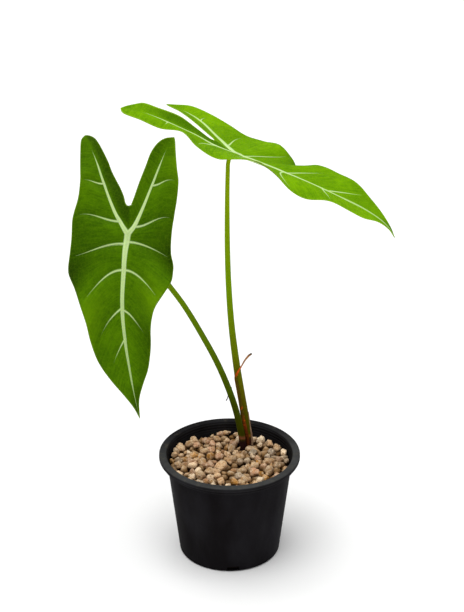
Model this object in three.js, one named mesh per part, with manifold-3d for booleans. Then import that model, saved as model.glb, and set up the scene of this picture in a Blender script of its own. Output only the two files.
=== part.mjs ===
// A young alocasia longiloba in a 13 cm nursery pot: two arrow-shaped leaves on long stalks, gravel on top.
// Millimetres, +Z up, origin at the centre of the pot's underside. The viewer's side is -Y.
import * as THREE from "three";
import { mergeVertices } from "three/addons/utils/BufferGeometryUtils.js";
import Module from "manifold-3d";

const wasm = await Module();
wasm.setup();

// Pot
const rimRadius = 65;
const potHeight = 100;
const lipWidth = 7.6;
const lipHeight = 4;
const stepRadius = 62.4;
const stepHeight = 3.8;
const wallTopRadius = 57.7;
const wallBaseRadius = 47;
const footRadius = 44.6;
const footRise = 2.4;
const wallThickness = 1.5;
const floorThickness = 2;
const innerRings = 3;
const ringPitch = 2.6;
const ringDepth = 0.5;
const drainWidth = 10.8;
const drainHeight = 3.8;
const drainLift = 1.7;
const drainTurn = 4;
const floorHoleRadius = 3;
const floorHoleCircle = 30;
const potSides = 48;

// Fill
const seat = 0.3; // gap between pieces that touch
const mixTop = 79;
const bedTop = 86.8;
const stonePitch = 10;
const stoneRadius = 5.1;
const stoneTop = 93;

// Plant
const bladeThickness = 1;
const midribDepth = 1.5;
const costaDepth = 1.3;
const veinDepth = 0.5;
const ribHalfWidth = 2;
const rowStep = 10;
const stalkSides = 12;
const cormCentre = [16, 33, 67];
const cormRadii = [13, 13, 20.5];
const rootCount = 6;

// The same random numbers on every run
let seed = 20;
function random() {
  seed = (seed * 16807) % 2147483647;
  return seed / 2147483647;
}
const between = (low, high) => low + (high - low) * random();

// Closed geometry to manifold solid and back
function solidOf(geometry) {
  const bare = geometry.index ? geometry.toNonIndexed() : geometry.clone();
  for (const name of Object.keys(bare.attributes)) {
    if (name !== "position") bare.deleteAttribute(name);
  }
  const merged = mergeVertices(bare, 1e-4);
  const vertProperties = new Float32Array(merged.attributes.position.array);
  const triVerts = new Uint32Array(merged.index.array);
  return new wasm.Manifold(new wasm.Mesh({ numProp: 3, vertProperties, triVerts }));
}

function geometryOf(solid) {
  const mesh = solid.getMesh();
  const geometry = new THREE.BufferGeometry();
  geometry.setAttribute("position", new THREE.BufferAttribute(new Float32Array(mesh.vertProperties), 3));
  geometry.setIndex(new THREE.BufferAttribute(new Uint32Array(mesh.triVerts), 1));
  geometry.computeVertexNormals();
  return geometry;
}

// The largest body of a solid, without loose scraps
function mainBody(solid) {
  return solid.decompose().sort((a, b) => b.volume() - a.volume())[0];
}

function lathe(profile, sides = potSides) {
  const points = profile.map(([r, z]) => new THREE.Vector2(r, z));
  return solidOf(new THREE.LatheGeometry(points, sides).rotateX(Math.PI / 2));
}

function block(width, depth, height, x, y, z, turn = 0) {
  const shape = new THREE.BoxGeometry(width, depth, height);
  return solidOf(shape.translate(x, y, z).rotateZ(THREE.MathUtils.degToRad(turn)));
}

// Smooth curve through keys [station, ...values]
function through(keys, station) {
  let i = 0;
  while (i < keys.length - 2 && station >= keys[i + 1][0]) i += 1;
  const last = keys.length - 1;
  const slope = (k, n) => {
    const a = keys[Math.max(k - 1, 0)];
    const b = keys[Math.min(k + 1, last)];
    return (b[n] - a[n]) / (b[0] - a[0]);
  };
  const from = keys[i];
  const to = keys[i + 1];
  const w = to[0] - from[0];
  const t = THREE.MathUtils.clamp((station - from[0]) / w, 0, 1);
  const t2 = t * t;
  const t3 = t2 * t;
  return from.slice(1).map((start, k) => {
    const n = k + 1;
    const a = (2 * t3 - 3 * t2 + 1) * start + (t3 - 2 * t2 + t) * w * slope(i, n);
    return a + (-2 * t3 + 3 * t2) * to[n] + (t3 - t2) * w * slope(i + 1, n);
  });
}

// A stalk: a capped cylinder bent along keys [x, y, z, width, depth], grown outwards by `grow`
function stalk(keys, steps, sides = stalkSides, grow = 0) {
  const centres = keys.map((k) => new THREE.Vector3(k[0], k[1], k[2]));
  const curve = new THREE.CatmullRomCurve3(centres, false, "centripetal");
  const tube = new THREE.CylinderGeometry(1, 1, 1, sides, steps);
  const place = tube.attributes.position;
  for (let i = 0; i < place.count; i += 1) {
    const t = THREE.MathUtils.clamp(place.getY(i) + 0.5, 0, 1);
    const centre = curve.getPoint(t);
    const along = curve.getTangent(t);
    const side = new THREE.Vector3(1, 0, 0).addScaledVector(along, -along.x).normalize();
    const front = new THREE.Vector3().crossVectors(side, along);
    const at = t * (keys.length - 1);
    const k = Math.min(Math.floor(at), keys.length - 2);
    const width = THREE.MathUtils.lerp(keys[k][3], keys[k + 1][3], at - k) / 2 + grow;
    const depth = THREE.MathUtils.lerp(keys[k][4], keys[k + 1][4], at - k) / 2 + grow;
    centre.addScaledVector(side, place.getX(i) * width).addScaledVector(front, place.getZ(i) * depth);
    place.setXYZ(i, centre.x, centre.y, centre.z);
  }
  return solidOf(tube);
}

// Pot: thin shell with a turned-out lip, a step under it, fine rings inside and drain slots
function wallRadius(z) {
  const share = (z - footRise) / (potHeight - lipHeight - stepHeight - footRise);
  return THREE.MathUtils.lerp(wallBaseRadius, wallTopRadius, share);
}
const insideRadius = (z) => wallRadius(z) - wallThickness;

function makePot() {
  const lipUnder = potHeight - lipHeight;
  const stepUnder = lipUnder - stepHeight;
  const mouth = rimRadius - lipWidth;
  const profile = [
    [0, 0],
    [footRadius, 0],
    [wallBaseRadius - 0.5, 0.9],
    [wallRadius(footRise), footRise],
    [wallRadius(stepUnder), stepUnder],
    [stepRadius, stepUnder],
    [stepRadius, lipUnder],
    [rimRadius - 0.4, lipUnder],
    [rimRadius, lipUnder + 0.6],
    [rimRadius, potHeight - 0.8],
    [rimRadius - 0.8, potHeight],
    [mouth, potHeight],
    [mouth - 0.5, potHeight - 0.7],
  ];
  for (let i = 0; i < innerRings; i += 1) {
    const z = potHeight - 1.6 - i * ringPitch;
    profile.push([mouth - 0.5 - i * 0.3, z]);
    profile.push([mouth - 0.5 - ringDepth - i * 0.3, z - 0.5]);
    profile.push([mouth - 0.5 - ringDepth - i * 0.3, z - ringPitch + 0.3]);
  }
  profile.push([insideRadius(88), 88]);
  profile.push([insideRadius(footRise), floorThickness + 0.8]);
  profile.push([insideRadius(footRise) - 1.2, floorThickness]);
  profile.push([0, floorThickness]);
  let pot = lathe(profile);
  for (let i = 0; i < 4; i += 1) {
    const turn = drainTurn + i * 90;
    const middle = drainLift + drainHeight / 2;
    const slot = block(drainWidth, 12, drainHeight, 0, -wallBaseRadius, middle, turn);
    const bore = new THREE.CylinderGeometry(floorHoleRadius, floorHoleRadius, 8, 14).rotateX(Math.PI / 2);
    bore.translate(floorHoleCircle, 0, 1).rotateZ(THREE.MathUtils.degToRad(turn + 45));
    pot = pot.subtract(slot).subtract(solidOf(bore));
  }
  return pot;
}

// A plug that fits inside the pot with a small gap, between two heights
function potPlug(low, high) {
  return lathe([
    [0, low],
    [insideRadius(low) - seat, low],
    [insideRadius(high) - seat, high],
    [0, high],
  ], 40);
}

// Corm with thick roots, buried in the mix
function makeCorm(grow = 0) {
  const [x, y, z] = cormCentre;
  const ball = new THREE.SphereGeometry(1, 12, 8).rotateX(Math.PI / 2);
  ball.scale(cormRadii[0] + grow, cormRadii[1] + grow, cormRadii[2] + grow).translate(x, y, z);
  let corm = solidOf(ball);
  for (let i = 0; i < rootCount; i += 1) {
    const angle = (2 * Math.PI * i) / rootCount + 0.4;
    const spread = i % 2 ? 34 : 22;
    const at = (share, height, width) => [
      THREE.MathUtils.lerp(x, Math.cos(angle) * spread, share),
      THREE.MathUtils.lerp(y, Math.sin(angle) * spread, share),
      height,
      width,
      width,
    ];
    const root = [
      at(0.1, z - 6, 3.8),
      at(0.6, z - 17, 3.8),
      at(0.9, z - 33, 3),
      at(1, z - 50 - 4 * (i % 2), 2),
    ];
    corm = corm.add(stalk(root, 6, 6, grow));
  }
  return corm;
}

// Stalk of the upper leaf: nearly upright, [x, y, z, width, depth]
const tallStalk = [
  [17.3, 34.2, 78, 7.2, 6.8],
  [17.2, 34, 92, 7.2, 6.8],
  [15, 33, 115.1, 6.9, 6.5],
  [11.1, 31, 142.7, 6.5, 6.2],
  [6.6, 29, 175.1, 5.9, 5.8],
  [2, 26, 217.4, 5.2, 5.2],
  [-0.6, 24, 258.2, 4.7, 4.7],
  [-1.7, 22, 298, 4.3, 4.3],
  [-1.8, 21, 336.4, 3.8, 3.8],
  [-1.6, 19.4, 354, 3.5, 3.5],
  [-1.3, 18.4, 368, 3.4, 3.3],
  [-0.9, 17.8, 377, 3.3, 3.2],
  [1, 16.8, 382.4, 3.3, 3],
  [9.3, 14, 386.3, 3.2, 3],
];

// Stalk of the front leaf: leans forward and to the viewer's left
const frontStalk = [
  [12.3, 29, 78, 6, 6],
  [12.2, 28.6, 92, 5.9, 5.9],
  [8.4, 25.8, 117.9, 5.7, 5.7],
  [1.3, 19, 148.7, 5.4, 5.4],
  [-10.2, 8, 185.9, 5.1, 5.1],
  [-24.4, -6, 223.1, 4.8, 4.8],
  [-39.9, -19, 258.6, 4.5, 4.5],
  [-54.8, -31, 287.1, 4.3, 4.3],
  [-68.4, -41, 313, 4, 4],
  [-78.5, -47.2, 331, 3.7, 3.7],
  [-85, -52, 341.5, 3.6, 3.6],
];

// Leaves. A blade lies on a sheet that bends down from the joint to the tip. `across` is to the right when
// looking from the joint to the tip, `along` runs to the tip, `lift` stands out of the upper face.
// Each outline is a list of [station, across, along, lift], where the station is the place on the rib
// that the row to this point starts from: negative down a lobe, 0 at the joint, positive to the tip.
// `arch` bends the rows back toward the joint: [station, sag, skew], as shares of the row's width.
const tallLeaf = {
  joint: [9.3, 14, 385.7],
  heading: -31,
  slope: 10,
  tipDroop: 31,
  droopPower: 4,
  lobeRise: -5,
  roll: 10,
  tipRoll: -18.5,
  foldRight: 15,
  foldLeft: 5,
  length: 158,
  lobe: 102,
  midrib: [[0, 0, 0, 0], [42, 0, 42, 0.5], [84, 2, 84, 0.8], [125, -3, 125, -0.8], [158, 2.5, 157.5, -0.6]],
  veins: [4, 45, 84],
  right: {
    rib: [[-112, 38, -105, -3], [-89, 35, -81, 2.5], [-44, 19.5, -40, 2.5], [-22, 9, -20, 0], [0, 0, 0, 0]],
    outer: [
      [-112, 38, -105, -3], [-106, 43, -99, -6], [-90, 46, -80, -4.5], [-70, 43.5, -60, -4],
      [-48, 39.5, -40, 1], [-28, 42.5, -20, -6], [-10, 44, 0, -8.5], [3, 46.5, 15, -2.5],
      [13, 48.5, 30, 4], [22, 46, 42, 7], [31, 39.5, 54, 3], [40, 33.5, 66, -5.5], [56, 26.5, 80, -8.5],
      [80, 24, 100, -0.5], [104, 20.5, 120, 1], [132, 8, 140, 3], [146, 3, 150, 2], [158, 2.5, 157.5, -0.6],
    ],
    inner: [
      [-112, 38, -105, -3], [-108, 31, -104, 0], [-103, 27, -98, 5], [-97, 24.5, -92, 9],
      [-86, 23, -80, 10.5], [-60, 13, -60, 11.5], [-40, 7, -45, 7.5], [-20, 2, -32, 3.5], [0, 0, -27, 3.2],
    ],
    arch: [
      [-112, 0, 0], [-68, 0, 0], [-22, 0.3, -0.15], [5, 0.05, 0], [44, 0.22, 0.1], [82, -0.04, 0.05],
      [158, 0.05, 0],
    ],
    veins: [-68, -22],
  },
  left: {
    rib: [
      [-112, -40.5, -102, -1.5], [-89, -35.5, -80, 1.7], [-66, -30, -60, 2.3], [-44, -17, -38, 2.2],
      [-22, -11.5, -21, -0.8], [-10, -2, -8, -0.4], [0, 0, 0, 0],
    ],
    outer: [
      [-112, -40.5, -102, -1.5], [-106, -43, -96, 0], [-90, -47, -80.5, 4], [-70, -47, -59.5, 4.5],
      [-48, -48, -40, 2], [-26, -45.5, -19.5, 0], [-10, -45, -0.5, 1.7], [-2, -42.5, 15.5, 3.5],
      [5, -41, 30, -4.5], [17, -33.5, 42, -9], [28, -33.5, 54, -1], [38, -33, 65.5, 1], [48, -30.5, 80, 1],
      [68, -24.5, 100, 3], [92, -17.5, 120, -0.8], [122, -8.5, 140, -1], [142, -4, 150, -1.5],
      [158, 2.5, 157.5, -0.6],
    ],
    inner: [
      [-112, -40.5, -102, -1.5], [-104, -29.5, -96, 2.5], [-86, -22, -80, 5.5], [-60, -15, -61, 5.5],
      [-40, -8, -45.5, 5], [-20, -5, -33, 3], [0, 0, -27, 3.2],
    ],
    arch: [
      [-112, 0, 0], [-65, 0.25, 0], [-20, 0.17, -0.12], [3, -0.06, 0.12], [46, 0.04, 0.07], [86, 0.04, 0.15],
      [158, 0.05, 0],
    ],
    veins: [-65, -20],
  },
};

const frontLeaf = {
  joint: [-85, -52, 341],
  heading: -80,
  slope: 66,
  tipDroop: 14,
  droopPower: 1.5,
  lobeRise: 14,
  roll: -19,
  tipRoll: 0,
  foldRight: 0,
  foldLeft: 0,
  length: 158,
  lobe: 92,
  midrib: [
    [0, 0, 1.2, 0], [15, 3.2, 15, 0], [31, 5.6, 31, 0], [63, 9.1, 62.5, 0], [91, 8.4, 91, 0],
    [112, 6.4, 112, 0], [136, 3.4, 136, 0], [156, -0.5, 158, 0],
  ],
  veins: [8, 31, 64, 89],
  right: {
    rib: [
      [-90, 29.5, -88, 0], [-68, 22.3, -65.5, 0], [-46, 17, -43.5, 0], [-22, 10.2, -20, 0],
      [-8, 4.6, -7.5, 0], [0, 0, 1.2, 0],
    ],
    outer: [
      [-90, 29.5, -88, 0], [-86, 33, -85, -0.5], [-76, 35, -75.5, -2], [-62, 36, -61.5, -0.5],
      [-46, 36.5, -48.5, 2], [-28, 40, -33.5, 0], [-10, 47, -16, -3], [0, 49.5, 1.5, -4], [9, 53, 17, -6],
      [15, 55.5, 26, -9], [20, 55.5, 33, -10], [25, 50.5, 44, -6], [31, 44.5, 59, 2],
      [43, 39.5, 74.5, 5.5], [54, 37.5, 89.5, 3], [68, 33.5, 107, -1], [88, 24, 122.5, 0],
      [114, 11.5, 138.5, 0], [136, 4.5, 148.5, 0], [156, -0.5, 158, 0],
    ],
    inner: [
      [-90, 29.5, -88, 0], [-86, 26, -87.5, -1.5], [-80, 21, -83.5, -3], [-61, 13.5, -65, -5],
      [-46, 10, -53, -5], [-28, 3.5, -37.5, -4], [-17, 1, -30.5, -2.5], [-9, 0, -25.5, -1],
      [-4, -1.5, -23, 0], [0, -3, -22.5, 0],
    ],
    arch: [
      [-90, 0, 0], [-46, 0.03, -0.11], [-11, 0.07, -0.11], [9, 0.04, 0.05], [31, 0.18, 0.05], [63, 0.3, -0.1],
      [86, 0.3, -0.12], [156, 0.1, 0],
    ],
    veins: [-46, -11],
  },
  left: {
    rib: [
      [-90, -46.5, -74.5, 0], [-80, -40.5, -68, 0], [-47, -24.3, -38, 0], [-22, -13.6, -17.6, 0],
      [-8, -5.8, -4.8, 0], [0, 0, 1.2, 0],
    ],
    outer: [
      [-90, -46.5, -74.5, 0], [-86, -47, -71, 0], [-76, -47, -63, 1.5], [-62, -47, -48, 2.5],
      [-50, -47, -38.5, 1], [-30, -44, -24.5, -2], [-10, -40, -10.5, -4], [-2, -36.5, 3, -6],
      [4, -34, 18.5, -9], [9, -35, 29, -10], [15, -35, 35.5, -7], [22, -34, 43.5, -1], [28, -28, 52.5, 4],
      [34, -21, 62, 6], [45, -16.5, 72, 3], [55, -13.5, 83, -3], [64, -12.5, 93, -6],
      [76, -11.5, 103.5, -5], [96, -9, 116.5, -4], [116, -4.5, 128.5, -3], [137, -0.5, 142.5, -1.5],
      [156, -0.5, 158, 0],
    ],
    inner: [
      [-90, -46.5, -74.5, 0], [-84, -39, -74.5, 0.5], [-76, -32, -71, 1], [-68, -26, -64.5, 1],
      [-54, -20.5, -54.5, 0], [-40, -15, -44.5, -1], [-30, -11.5, -38, -2], [-18, -8, -30, -1.5],
      [-9, -5.5, -24.5, -0.5], [-4, -5, -23, 0], [0, -3, -22.5, 0],
    ],
    arch: [
      [-90, 0, 0], [-46, 0.15, -0.17], [-8, 0.06, -0.14], [7, 0.09, 0.02], [31, 0.17, 0.05], [65, 0.17, 0.12],
      [156, 0.1, 0],
    ],
    veins: [-46, -8],
  },
};

// Slope of the sheet, in radians below the horizontal
function sheetSlope(leaf, along) {
  const bend = along > 0
    ? leaf.tipDroop * (along / leaf.length) ** leaf.droopPower
    : leaf.lobeRise * (along / leaf.lobe);
  return THREE.MathUtils.degToRad(leaf.slope + bend);
}

// Point of the sheet in space
function onSheet(leaf, across, along, lift) {
  const steps = 48;
  let reach = 0;
  let drop = 0;
  for (let i = 0; i < steps; i += 1) {
    const slope = sheetSlope(leaf, (along * (i + 0.5)) / steps);
    reach += (Math.cos(slope) * along) / steps;
    drop += (Math.sin(slope) * along) / steps;
  }
  const slope = sheetSlope(leaf, along);
  const heading = THREE.MathUtils.degToRad(leaf.heading);
  const roll = THREE.MathUtils.degToRad(leaf.roll + (leaf.tipRoll * Math.max(along, 0)) / leaf.length);
  const fold = THREE.MathUtils.degToRad(across > 0 ? leaf.foldRight : leaf.foldLeft);
  const ahead = new THREE.Vector3(Math.cos(heading), Math.sin(heading), 0);
  const beside = new THREE.Vector3(ahead.y, -ahead.x, 0);
  const up = ahead.clone().multiplyScalar(Math.sin(slope));
  up.z = Math.cos(slope);
  const right = beside.clone().multiplyScalar(Math.cos(roll)).addScaledVector(up, Math.sin(roll));
  const out = up.multiplyScalar(Math.cos(roll)).addScaledVector(beside, -Math.sin(roll));
  const point = new THREE.Vector3(...leaf.joint).addScaledVector(ahead, reach);
  point.z -= drop;
  point.addScaledVector(right, across * Math.cos(fold));
  return point.addScaledVector(out, Math.abs(across) * Math.sin(fold) + lift);
}

// Stations of the rows: even steps, and three close together at each side vein
function stationsOf(from, to, step, veins) {
  const count = Math.round((to - from) / step);
  const even = [];
  for (let i = 0; i <= count; i += 1) even.push(from + ((to - from) * i) / count);
  const clear = even.filter((s) => s === from || s === to || veins.every((v) => Math.abs(s - v) > 3.2));
  for (const vein of veins) clear.push(vein - 1.4, vein, vein + 1.4);
  return clear.sort((a, b) => a - b);
}

// Blade: a single sheet of rows from the ribs to the margins, thickened to both sides
function makeBlade(leaf, grow = 0) {
  const places = [];
  const ridges = [];
  const addTriangle = (a, b, c) => {
    for (const corner of [a, b, c]) {
      places.push(corner.point.x, corner.point.y, corner.point.z);
      ridges.push(corner.ridge);
    }
  };
  for (const half of ["right", "left"]) {
    const side = leaf[half];
    const tip = leaf.midrib.at(-1)[0];
    const lobeTip = side.rib[0][0];
    for (const patch of ["outer", "inner"]) {
      const stations = stationsOf(lobeTip, 0, rowStep, side.veins);
      if (patch === "outer") stations.push(...stationsOf(0, tip, rowStep, leaf.veins).slice(1));
      const veins = patch === "outer" ? [...side.veins, ...leaf.veins] : [];
      const shares = patch === "outer" ? [0, 0.1, 0.36, 0.68, 1] : [0, 0.2, 0.6, 1];
      const rows = stations.map((s) => {
        const foot = through(s >= 0 ? leaf.midrib : side.rib, s);
        const edge = through(side[patch], s);
        const span = Math.hypot(edge[0] - foot[0], edge[1] - foot[1]);
        const fade = s >= 0 ? 1 - s / tip : 1 - s / lobeTip;
        const ribDepth = (s >= 0 ? midribDepth : costaDepth) * (0.25 + 0.75 * fade);
        const onVein = veins.includes(s) ? veinDepth : 0;
        const [sag, skew] = through(side.arch, s);
        return shares.map((share, column) => {
          const t = column === 1 ? Math.min(ribHalfWidth / Math.max(span, 0.01), 0.3) : share;
          const bend = patch === "outer" ? sag + skew * (1 - 2 * t) : 0;
          const arch = 4 * Math.abs(edge[0] - foot[0]) * t * (1 - t) * bend;
          const across = foot[0] + (edge[0] - foot[0]) * t;
          const along = foot[1] + (edge[1] - foot[1]) * t - arch;
          const lift = foot[2] + (edge[2] - foot[2]) * t * t;
          const ridge = column === 0 ? ribDepth : onVein * (1 - t);
          return { point: onSheet(leaf, across, along, lift), ridge };
        });
      });
      const flip = (half === "right") === (patch === "outer");
      for (let i = 0; i + 1 < rows.length; i += 1) {
        for (let j = 0; j + 1 < shares.length; j += 1) {
          const quad = [rows[i][j], rows[i + 1][j], rows[i + 1][j + 1], rows[i][j + 1]];
          for (const [a, b, c] of [[0, 1, 2], [0, 2, 3]]) {
            if (flip) addTriangle(quad[a], quad[c], quad[b]);
            else addTriangle(quad[a], quad[b], quad[c]);
          }
        }
      }
    }
  }
  const sheet = new THREE.BufferGeometry();
  sheet.setAttribute("position", new THREE.Float32BufferAttribute(places, 3));
  sheet.setAttribute("ridge", new THREE.Float32BufferAttribute(ridges, 1));
  return thicken(mergeVertices(sheet, 1e-3), bladeThickness + 2 * grow, grow);
}

// Both faces of a sheet and the rim between them; the ridge attribute deepens the lower face
function thicken(sheet, thickness, grow) {
  sheet.computeVertexNormals();
  const { position, normal, ridge } = sheet.attributes;
  const count = position.count;
  const shell = [];
  for (const face of [1, -1]) {
    for (let i = 0; i < count; i += 1) {
      const depth = thickness / 2 + (face < 0 ? ridge.getX(i) : 0);
      const point = new THREE.Vector3().fromBufferAttribute(position, i);
      shell.push(...point.addScaledVector(new THREE.Vector3().fromBufferAttribute(normal, i), face * depth));
    }
  }
  const faces = [];
  const edges = new Set();
  for (let i = 0; i < sheet.index.count; i += 3) {
    const [a, b, c] = [0, 1, 2].map((k) => sheet.index.getX(i + k));
    if (a === b || b === c || c === a) continue;
    faces.push(a, b, c, a + count, c + count, b + count);
    for (const edge of [[a, b], [b, c], [c, a]]) edges.add(edge.join());
  }
  for (const edge of edges) {
    const [a, b] = edge.split(",").map(Number);
    if (edges.has([b, a].join())) continue;
    faces.push(a, a + count, b + count, a, b + count, b);
  }
  const closed = new THREE.BufferGeometry();
  closed.setAttribute("position", new THREE.Float32BufferAttribute(shell, 3));
  closed.setIndex(faces);
  return solidOf(closed);
}

// Gravel: pumice stones on a bed, packed in jittered rows and kept inside the pot's wall
function makeGravel() {
  const bed = potPlug(mixTop + seat, bedTop);
  const stones = [];
  const reach = insideRadius(bedTop) - stoneRadius * 0.55;
  const rowPitch = stonePitch * 0.87;
  const rows = Math.floor(reach / rowPitch);
  for (let row = -rows; row <= rows; row += 1) {
    for (let i = -8; i <= 8; i += 1) {
      const x = (i + (row % 2 ? 0.5 : 0)) * stonePitch + between(-1, 1);
      const y = row * rowPitch + between(-1, 1);
      const size = stoneRadius * between(0.86, 1.12);
      const turn = between(0, Math.PI);
      const top = between(0, 1) ** 1.5;
      if (Math.hypot(x, y) > reach) continue;
      const stone = new THREE.IcosahedronGeometry(size, 0);
      stone.rotateX(turn * 2).rotateY(turn * 3).scale(1.08, 1, 0.86).rotateZ(turn);
      stone.translate(x, y, stoneTop - size * 0.8 - 2.2 * top);
      stones.push(solidOf(stone));
    }
  }
  const heap = wasm.Manifold.union([bed, ...stones]);
  return heap.intersect(potPlug(mixTop + seat, stoneTop + 4));
}

// Dry remains of older leaves: a strip up the tall stalk that ends in a thread, and a papery strip
const drySheath = [
  [16.9, 29.6, 84, 2.8, 1],
  [16.9, 29.6, 94, 2.9, 1],
  [15.4, 29.1, 106, 3.1, 1],
  [13.5, 28.8, 115, 3.2, 0.9],
  [12, 28.3, 124, 2.7, 0.9],
  [10.2, 28.1, 133, 1.8, 0.8],
  [8.5, 27.6, 142, 1.4, 0.8],
  [6.8, 27.4, 151, 1.2, 0.8],
  [5.3, 26.9, 159, 1.4, 0.8],
  [5.1, 25.4, 165, 2, 0.8],
  [7.2, 24.5, 170, 2, 0.8],
  [10.2, 24.6, 175, 1.5, 0.8],
  [14, 26, 182, 1.4, 0.8],
  [20, 29, 187, 1.4, 0.8],
];
const dryMembrane = [
  [21, 31.6, 84, 2.4, 0.9],
  [21.2, 31.6, 94, 2.3, 0.9],
  [20, 31.3, 104, 2.1, 0.8],
  [18.8, 30.9, 114, 1.7, 0.8],
  [17.6, 30.6, 125, 1, 0.8],
];

function makePlant() {
  const tallBlade = makeBlade(tallLeaf);
  const frontBlade = makeBlade(frontLeaf);
  const corm = makeCorm();
  const cormRoom = makeCorm(seat);
  const tallTube = stalk(tallStalk, 34);
  const tallRoom = stalk(tallStalk, 34, stalkSides, seat);
  const frontTube = stalk(frontStalk, 26);
  const frontRoom = stalk(frontStalk, 26, stalkSides, seat);
  const tall = mainBody(tallTube.subtract(cormRoom).subtract(makeBlade(tallLeaf, seat)));
  const front = mainBody(frontTube.subtract(cormRoom).subtract(tallRoom).subtract(makeBlade(frontLeaf, seat)));
  const stems = tallRoom.add(frontRoom).add(cormRoom);
  const sheath = mainBody(stalk(drySheath, 26, 8).subtract(stems));
  const membrane = mainBody(stalk(dryMembrane, 8, 8).subtract(stems));
  const dryRoom = stalk(drySheath, 26, 8, seat).add(stalk(dryMembrane, 8, 8, seat));
  return { tallBlade, frontBlade, corm, cormRoom, tall, front, sheath, membrane, room: stems.add(dryRoom) };
}

const finish = {
  black: { color: 0x1c1b1c, roughness: 0.45 },
  soil: { color: 0x2e2117, roughness: 0.95 },
  pumice: { color: 0x8e7151, roughness: 0.9 },
  corm: { color: 0x3a2420, roughness: 0.8 },
  stalk: { color: 0x5d6f12, roughness: 0.4 },
  leaf: { color: 0x5c8f0a, roughness: 0.4 },
  dry: { color: 0x8a4a2c, roughness: 0.7 },
  paper: { color: 0xb29a78, roughness: 0.8 },
};

const plant = makePlant();
const pot = new THREE.Group();
const whole = new THREE.Group();

function add(group, name, solid, look) {
  const material = new THREE.MeshStandardMaterial({ ...look, metalness: 0 });
  const mesh = new THREE.Mesh(geometryOf(solid), material);
  mesh.name = name;
  group.add(mesh);
}

add(pot, "pot", makePot(), finish.black);
add(pot, "potting_mix", mainBody(potPlug(floorThickness + 1.1, mixTop).subtract(plant.cormRoom)), finish.soil);
add(pot, "gravel", mainBody(makeGravel().subtract(plant.room)), finish.pumice);
add(whole, "corm", plant.corm, finish.corm);
add(whole, "tall_petiole", plant.tall, finish.stalk);
add(whole, "front_petiole", plant.front, finish.stalk);
add(whole, "tall_blade", plant.tallBlade, finish.leaf);
add(whole, "front_blade", plant.frontBlade, finish.leaf);
add(whole, "dry_sheath", plant.sheath, finish.dry);
add(whole, "dry_membrane", plant.membrane, finish.paper);
whole.add(pot);

export default whole;
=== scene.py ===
import math
import random
from itertools import product

import bmesh
import bpy
import numpy as np
from mathutils import Matrix, Vector, noise


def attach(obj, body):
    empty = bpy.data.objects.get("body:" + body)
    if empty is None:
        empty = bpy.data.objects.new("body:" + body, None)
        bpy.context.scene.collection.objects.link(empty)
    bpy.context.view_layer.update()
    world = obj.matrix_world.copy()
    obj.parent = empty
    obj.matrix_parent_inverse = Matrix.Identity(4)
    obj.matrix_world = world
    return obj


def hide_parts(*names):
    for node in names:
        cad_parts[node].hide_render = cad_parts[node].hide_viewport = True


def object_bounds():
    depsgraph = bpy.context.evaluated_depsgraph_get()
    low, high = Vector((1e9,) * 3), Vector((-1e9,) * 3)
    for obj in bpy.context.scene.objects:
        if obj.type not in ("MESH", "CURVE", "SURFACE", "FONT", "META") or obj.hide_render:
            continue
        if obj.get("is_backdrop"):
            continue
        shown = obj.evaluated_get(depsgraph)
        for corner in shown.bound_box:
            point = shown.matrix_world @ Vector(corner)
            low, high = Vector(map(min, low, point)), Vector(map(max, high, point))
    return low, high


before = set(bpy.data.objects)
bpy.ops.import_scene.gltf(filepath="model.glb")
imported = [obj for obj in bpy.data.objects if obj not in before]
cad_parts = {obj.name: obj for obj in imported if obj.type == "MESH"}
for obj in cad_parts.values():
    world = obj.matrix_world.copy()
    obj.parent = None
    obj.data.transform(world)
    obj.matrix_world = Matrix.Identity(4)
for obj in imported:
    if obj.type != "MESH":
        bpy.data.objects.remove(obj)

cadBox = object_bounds()
mm = 0.001
scene = bpy.context.scene


# helpers for meshes and node materials
def makePiece(name, points, faces, mats, smooth=True, slots=None):
    mesh = bpy.data.meshes.new(name)
    mesh.from_pydata([tuple(p) for p in points], [], [list(map(int, face)) for face in faces])
    mesh.validate()
    for mat in mats:
        mesh.materials.append(mat)
    mesh.polygons.foreach_set("use_smooth", [smooth] * len(mesh.polygons))
    if slots is not None:
        mesh.polygons.foreach_set("material_index", [int(s) for s in slots])
    piece = bpy.data.objects.new(name, mesh)
    scene.collection.objects.link(piece)
    return piece


def addValues(piece, name, values, kind="FLOAT", field="value"):
    layer = piece.data.attributes.new(name, kind, "POINT")
    layer.data.foreach_set(field, np.asarray(values, float).ravel())


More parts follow.
